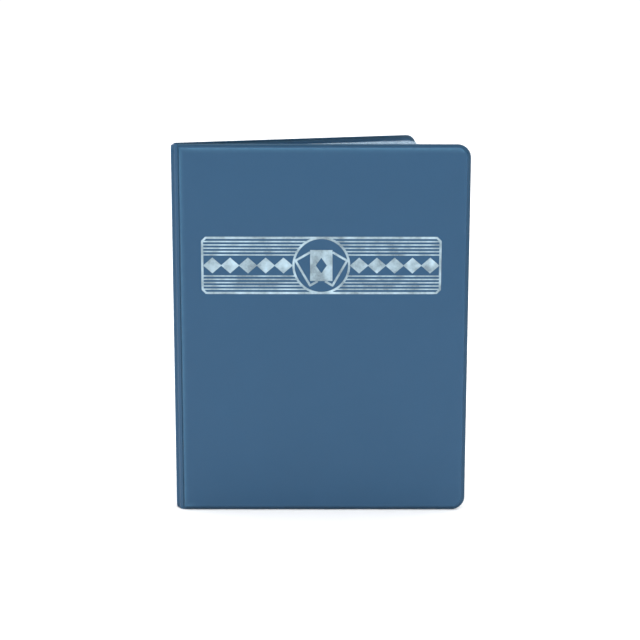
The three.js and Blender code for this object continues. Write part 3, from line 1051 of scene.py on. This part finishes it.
class ALBUM_OT_emblem(bpy.types.Operator):
    """Stamps the foil: a frame with pinstripes and diamonds, and a ring round a fan of blank cards"""

    bl_idname = "album.emblem"
    bl_label = "Foil stamp"

    def execute(self, context):
        emblem = context.scene.album_emblem
        place = front_frame()
        lo, hi = span("foil_emblem", place)
        width, height = hi[0] - lo[0] - emblem.line, hi[2] - lo[2] - emblem.line
        radius = height / 2
        half_card = (hi[2] - lo[2]) * CARD_SHARE / 2
        pivot = (hi[2] - lo[2]) * CARD_PIVOT
        card = (half_card * CARD_SHAPE, half_card, pivot)
        outline = (card[0] - emblem.line / 2, card[1] - emblem.line / 2, pivot)
        angles = np.linspace(0, math.tau, CIRCLE_STEPS + 1)[:-1]
        circle = [(radius * math.cos(a), radius * math.sin(a), RING_RISE) for a in angles]
        paths = [(frame_path(width / 2, height / 2), True), (circle, True)]
        for k, turn in enumerate(CARD_TURNS[:-1]):
            over = CARD_TURNS[k + 1 :]
            path = card_path(*outline, turn)
            paths += visible_runs(path, lambda p, over=over: any(inside_card(p, *card, o) for o in over))
        foil = shared("Foil", foil_material, emblem.foil)
        values = {
            "Width": width,
            "Height": height,
            "Line": emblem.line,
            "Bar": emblem.bar,
            "Bars": emblem.bars,
            "Band": emblem.band,
            "Diamonds": emblem.diamonds,
            "Radius": radius,
            "Relief": emblem.relief * 2,
            "Material": foil,
        }
        mesh = run_tree("foil_stamp", path_curve("foil_paths", paths), stamp_tree(), values)
        windowed_card(mesh, *card[:2], emblem.relief * 2)
        skin = bpy.data.objects["front_cover_skin"].data
        laid_on(skin, place, mesh, ((lo[0] + hi[0]) / 2, (lo[2] + hi[2]) / 2))
        tidy(mesh)
        for polygon in mesh.polygons:
            polygon.use_smooth = False
            polygon.material_index = 0
        finish_piece("foil_stamp", mesh, foil, "front_cover", "foil", "foil_emblem")
        return {"FINISHED"}


# ---- pages ----

PAGE_CORNER = 5.0
SEAM = 2.0  # width of a welded seam
COLUMNS = 3
THUMB_HALF_WIDTH = 17.0
WAVE_FROM, WAVE_SHIFT, WAVE_SCALE = 15.0, 40.0, 2.2  # of a page's slow waves
BOUND_THICKENING, BOUND_WIDTH = 0.2, 0.6
BOUND_STOPS = (0, 0.25, 0.5, 0.9, 1.4, 3, 8, 16)
FREE_FROM = 24.0  # where a page's evenly spaced grid lines begin
LIFT_WIDTH = 7.0  # from a seam to where the film is fully lifted
MOUTH_HEIGHT, MOUTH_LIFT = 25.0, 0.6  # how far down a pocket opens wider, and by how much of its bulge
CUT_HEIGHT = 18.0  # over which the film makes room for the thumb cut
FILM_GAP = 0.02  # between a page's two films
DOT_RADIUS, DOT_HEIGHT = 0.42, 0.16
SEAM_SHORT = 3.0  # how far below a pocket's mouth a seam's dashes end
LEAST_SPREAD, MORE_SPREAD = 0.92, 0.16  # the first page's share of the ripple, and the last one's excess
WELD_TINT, WELD_OPACITY = 1.12, 0.55


def page_wave(settings, page_width, spread):
    """How far a page stands off its plane at (x, z). It grows from nothing at the bound edge."""

    def wave(x, z):
        grown = smoothstep((x - WAVE_FROM) / page_width) * settings.ripple * spread
        return grown * ripple(x + WAVE_SHIFT, z, WAVE_SCALE)

    return wave


def edge_stops(first, last, fine, coarse):
    """Grid lines from first to last, close together at both ends."""
    near = [0, fine, fine * 2.5, fine * 5]
    inner = np.linspace(first + fine * 5, last - fine * 5, max(2, round((last - first) / coarse)))[1:-1]
    return np.array([first + n for n in near] + list(inner) + [last - n for n in reversed(near)])


def back_film(name, place, node, settings, wave):
    """The page's whole sheet, thickened where it is bound, with rounded free corners."""
    lo, hi = span(node, place)
    half = (hi[1] - lo[1]) / 2

    def rounded(x, z):
        drop = np.clip(PAGE_CORNER - np.minimum(z - lo[2], hi[2] - z), 0, PAGE_CORNER)
        end = hi[0] - PAGE_CORNER + np.sqrt(PAGE_CORNER**2 - drop**2)
        return lo[0] + (x - lo[0]) * (end - lo[0]) / (hi[0] - lo[0]), z

    def thick(x):
        return half + BOUND_THICKENING * np.exp(-(((x - lo[0]) / BOUND_WIDTH) ** 2))

    def face(x, z):
        return wave(x, z) + thick(x)

    def back(x, z):
        return wave(x, z) - thick(x)

    free = edge_stops(lo[0] + FREE_FROM, hi[0], 0.8, 12)
    xs = np.concatenate([lo[0] + np.array(BOUND_STOPS), free])
    zs = edge_stops(lo[2], hi[2], 0.6, 12)
    return grid_sheet(name, place, xs, zs, face, back, rounded)


def pocket_film(name, place, node, back_face, settings, wave):
    """The front film of a row of pockets: welded down along its seams and its lower edge, lifted
    between them for the cards, and open at the top with a shallow cut for the thumb."""
    lo, hi = span(node, place)
    thickness = hi[1] - lo[1]
    pitch = (hi[0] - lo[0] - SEAM) / COLUMNS
    seams = [lo[0] + SEAM / 2 + pitch * k for k in range(COLUMNS + 1)]
    offsets = np.array([-SEAM / 2, SEAM / 2, SEAM / 2 + 1.5, SEAM / 2 + 4])
    beside = [v for s in seams for v in np.concatenate([s + offsets, s - offsets])]
    xs = {float(v) for v in beside if lo[0] <= v <= hi[0]}
    xs |= {float(v) for s in seams[:-1] for v in s + np.linspace(9, pitch - 9, 9)}
    xs = np.array(sorted(xs))
    zs = edge_stops(lo[2], hi[2], 0.7, 9)
    zs = np.sort(np.concatenate([zs, [lo[2] + SEAM, hi[2] - 6, hi[2] - 9, hi[2] - 13]]))

    def from_seam(x):
        return np.min([np.abs(x - s) for s in seams], axis=0) - SEAM / 2

    def lifted(x, z):
        above_seam = (z - lo[2] - SEAM) / LIFT_WIDTH
        open_share = smoothstep(from_seam(x) / LIFT_WIDTH) * smoothstep(above_seam)
        mouth = 1 + MOUTH_LIFT * smoothstep((z - hi[2] + MOUTH_HEIGHT) / MOUTH_HEIGHT)
        return back_face + FILM_GAP + settings.bulge * open_share * mouth

    def cut(x, z):
        middle = np.min([np.abs(x - s - pitch / 2) for s in seams[:-1]], axis=0)
        depth = settings.thumb_cut * smoothstep(1 - middle / THUMB_HALF_WIDTH)
        return x, z - depth * smoothstep((z - hi[2] + CUT_HEIGHT) / CUT_HEIGHT)

    def back(x, z):
        return wave(x, z) + lifted(x, z)

    def face(x, z):
        return back(x, z) + thickness

    return grid_sheet(name, place, xs, zs, face, back, cut)


def seam_paths(rows, place):
    """The lines of a page's welds: three across each row, and four up it."""
    paths = []
    for node in rows:
        lo, hi = span(node, place)
        low, high = lo[2] + SEAM / 2, hi[2] - SEAM_SHORT
        pitch = (hi[0] - lo[0] - SEAM) / COLUMNS
        paths.append(([(lo[0] + SEAM / 2, low, 0), (hi[0] - SEAM / 2, low, 0)], False))
        for k in range(COLUMNS + 1):
            x = lo[0] + SEAM / 2 + pitch * k
            paths.append(([(x, low + SEAM, 0), (x, high, 0)], False))
    return paths


def seam_dots(name, place, rows, surface, group, values):
    """The pressed dots of a page's welds, laid on the film's surface(x, z)."""
    mesh = run_tree(name, path_curve(name + "_paths", seam_paths(rows, place)), group, values)
    for vertex in mesh.vertices:
        x, z, out = vertex.co
        vertex.co = place @ Vector((x, surface(x, z) + out, z))
    return tidy(mesh)


class ALBUM_OT_pages(bpy.types.Operator):
    """Makes every page: its back film, its three rows of pockets and its welded seams"""

    bl_idname = "album.pages"
    bl_label = "Pages"

    def execute(self, context):
        settings = context.scene.album_pages
        film = shared("Clear film", film_material, settings.film, settings.opacity)
        weld_colour = shade(settings.film, WELD_TINT)[:3]
        weld = shared("Welded film", film_material, weld_colour, WELD_OPACITY)
        group = dot_tree()
        dots = {"Spacing": settings.dash, "Radius": DOT_RADIUS, "Height": DOT_HEIGHT, "Material": weld}
        for number, page in enumerate(PAGES):
            place = page_frame(page)
            back = f"{page}_back_film"
            rows = sorted(n for n in frame["nodes"] if n.startswith(page) and "pocket_row" in n)
            lo, hi = span(back, place)
            wave = page_wave(settings, hi[0] - lo[0], LEAST_SPREAD + MORE_SPREAD * number / len(PAGES))
            mesh = back_film(f"{page}_back", place, back, settings, wave)
            finish_piece(f"{page}_sheet", mesh, film, page, "film", back)
            for node in rows:
                mesh = pocket_film(f"{node}_film", place, node, hi[1], settings, wave)
                finish_piece(node.replace("_row_", "s_"), mesh, film, page, "film", node)
            first_lo, first_hi = span(rows[0], place)
            depth = hi[1] + FILM_GAP + first_hi[1] - first_lo[1]

            def surface(x, z, wave=wave, depth=depth):
                return wave(x, z) + depth

            mesh = seam_dots(f"{page}_weld", place, rows, surface, group, dots)
            finish_piece(f"{page}_welds", mesh, None, page, "film")
        return {"FINISHED"}


# ---- parts kept from the frame ----


class ALBUM_OT_inner_parts(bpy.types.Operator):
    """Paints the boards and the binding strip, whose shapes are the frame's own"""

    bl_idname = "album.inner_parts"
    bl_label = "Boards and binding"

    def execute(self, context):
        case = context.scene.album_case
        board = shared("Chipboard", board_material)
        paints = {
            "front_board": board,
            "spine_board": board,
            "back_board": board,
            "binding_strip": shared("Binding strip", binding_material, case.liner),
        }
        for node, paint in paints.items():
            materials = frame["nodes"][node].data.materials
            materials.clear()
            materials.append(paint)
        return {"FINISHED"}


# ---- stage ----

VIEW_ELEVATION = 10.5
VIEW_AZIMUTH = -0.19
VIEW_ROLL = 0.07
VIEW_DISTANCE = 1.184
AIM_ALONG, AIM_HEIGHT = 0.1167, 0.1614  # from the front hinge line and the floor
KEY_POWER, KEY_SIDE = 5.0, 1.0
KEY_PLACE, KEY_AIM = (-1.5, -1.2, 1.9), (0, 0, 0.15)
FLOOR_HALF = 9.0
THROUGH_FILMS = 64  # how many transparent faces a ray may cross
# Height of a direction, from the horizon at 0 to straight up at 1, and the light from there.
SKY = ((0.0, 1.06), (0.09, 1.06), (0.16, 0.36), (0.58, 0.36), (0.78, 2.7), (1.0, 2.7))


def facing(direction):
    """The turn that points an object's Z along a direction."""
    return direction.to_track_quat("Z", "Y").to_matrix().to_4x4()


def add_camera(lens):
    data = bpy.data.cameras.new("Camera")
    data.lens = lens / MM
    camera = make_object("Camera", data)
    aim = hinge_point("front_hinge") * MM + Vector((AIM_ALONG, 0, AIM_HEIGHT))
    azimuth, elevation = math.radians(VIEW_AZIMUTH), math.radians(VIEW_ELEVATION)
    level = math.cos(elevation)
    back = Vector((math.sin(azimuth) * level, -math.cos(azimuth) * level, math.sin(elevation)))
    rolled = facing(back) @ Matrix.Rotation(math.radians(VIEW_ROLL), 4, "Z")
    camera.matrix_world = Matrix.Translation(aim + back * VIEW_DISTANCE) @ rolled
    bpy.context.scene.camera = camera


def add_key_light():
    data = bpy.data.lights.new("key_light", "AREA")
    data.energy = KEY_POWER
    data.shape = "SQUARE"
    data.size = KEY_SIDE
    lamp = make_object("key_light", data)
    lamp.matrix_world = Matrix.Translation(KEY_PLACE) @ facing(Vector(KEY_PLACE) - Vector(KEY_AIM))


def studio_world(strength):
    """A white room: pale at the horizon, dimmer above it, and a wide soft light overhead."""
    world = bpy.data.worlds.new("Studio")
    world.use_nodes = True
    tree = Tree(world.node_tree)
    direction = tree.add("ShaderNodeTexCoord").outputs["Generated"]
    height = tree.add("ShaderNodeSeparateXYZ", {0: direction}).outputs["Z"]
    levels = tree.add("ShaderNodeValToRGB", {0: height})
    stops = levels.color_ramp.elements
    stops[0].position, stops[1].position = SKY[0][0], SKY[-1][0]
    for position, _ in SKY[1:-1]:
        stops.new(position)
    for stop, (_, level) in zip(stops, SKY):
        stop.color = (level, level, level, 1)
    background = world.node_tree.nodes["Background"]
    tree.give(background.inputs["Color"], levels.outputs["Color"])
    background.inputs["Strength"].default_value = strength
    return world


def floor_material(name, base):
    """Pale seamless paper with the faintest tooth."""
    made, tree, inputs = new_material(name)
    patches = blend_colours(tree, noise(tree, 3, 3), shade(base, 0.995), shade(base, 1.005))
    tree.give(inputs["Base Color"], patches)
    tree.give(inputs["Roughness"], ramp(tree, noise(tree, 200, 2), 0.85, 0.95))
    inputs["Specular IOR Level"].default_value = 0.1
    return made


class ALBUM_OT_stage(bpy.types.Operator):
    """Sets the floor, the lights and the camera"""

    bl_idname = "album.stage"
    bl_label = "Stage"

    def execute(self, context):
        stage = context.scene.album_stage
        scene = context.scene
        mesh = bpy.data.meshes.new("floor")
        mesh.from_pydata([(x * FLOOR_HALF, y * FLOOR_HALF, 0) for x, y in CORNERS], [], [(0, 1, 2, 3)])
        paper = shared("Floor paper", floor_material, stage.floor)
        make_object("studio_floor", mesh, paper)
        scene.world = studio_world(stage.light)
        add_key_light()
        scene.view_settings.view_transform = "Standard"
        scene.cycles.transparent_max_bounces = THROUGH_FILMS
        add_camera(stage.lens)
        return {"FINISHED"}


# ---- add-on ----


class ALBUM_PT_panel(bpy.types.Panel):
    """Lists the steps that build the album"""

    bl_idname = "ALBUM_PT_panel"
    bl_label = "Card album"
    bl_space_type = "VIEW_3D"
    bl_region_type = "UI"
    bl_category = "Card album"

    def draw(self, context):
        for group in GROUPS:
            box = self.layout.box()
            box.label(text=group.replace("album_", "").capitalize())
            settings = getattr(context.scene, group)
            for key in type(settings).__annotations__:
                box.prop(settings, key)
        for operator in OPERATORS:
            self.layout.operator(operator.bl_idname)


GROUPS = {
    "album_case": CaseSettings,
    "album_pages": PageSettings,
    "album_emblem": EmblemSettings,
    "album_stage": StageSettings,
}
OPERATORS = (
    ALBUM_OT_stage,
    ALBUM_OT_covers,
    ALBUM_OT_spine,
    ALBUM_OT_hinges,
    ALBUM_OT_emblem,
    ALBUM_OT_pages,
    ALBUM_OT_inner_parts,
)


def register():
    for kind in (*GROUPS.values(), *OPERATORS, ALBUM_PT_panel):
        bpy.utils.register_class(kind)
    for name, kind in GROUPS.items():
        setattr(bpy.types.Scene, name, bpy.props.PointerProperty(type=kind))


def unregister():
    for name in GROUPS:
        delattr(bpy.types.Scene, name)
    for kind in reversed((*GROUPS.values(), *OPERATORS, ALBUM_PT_panel)):
        bpy.utils.unregister_class(kind)


def main():
    register()
    for operator in OPERATORS:
        group, step = operator.bl_idname.split(".")
        getattr(getattr(bpy.ops, group), step)()


if __name__ == "__main__":
    main()
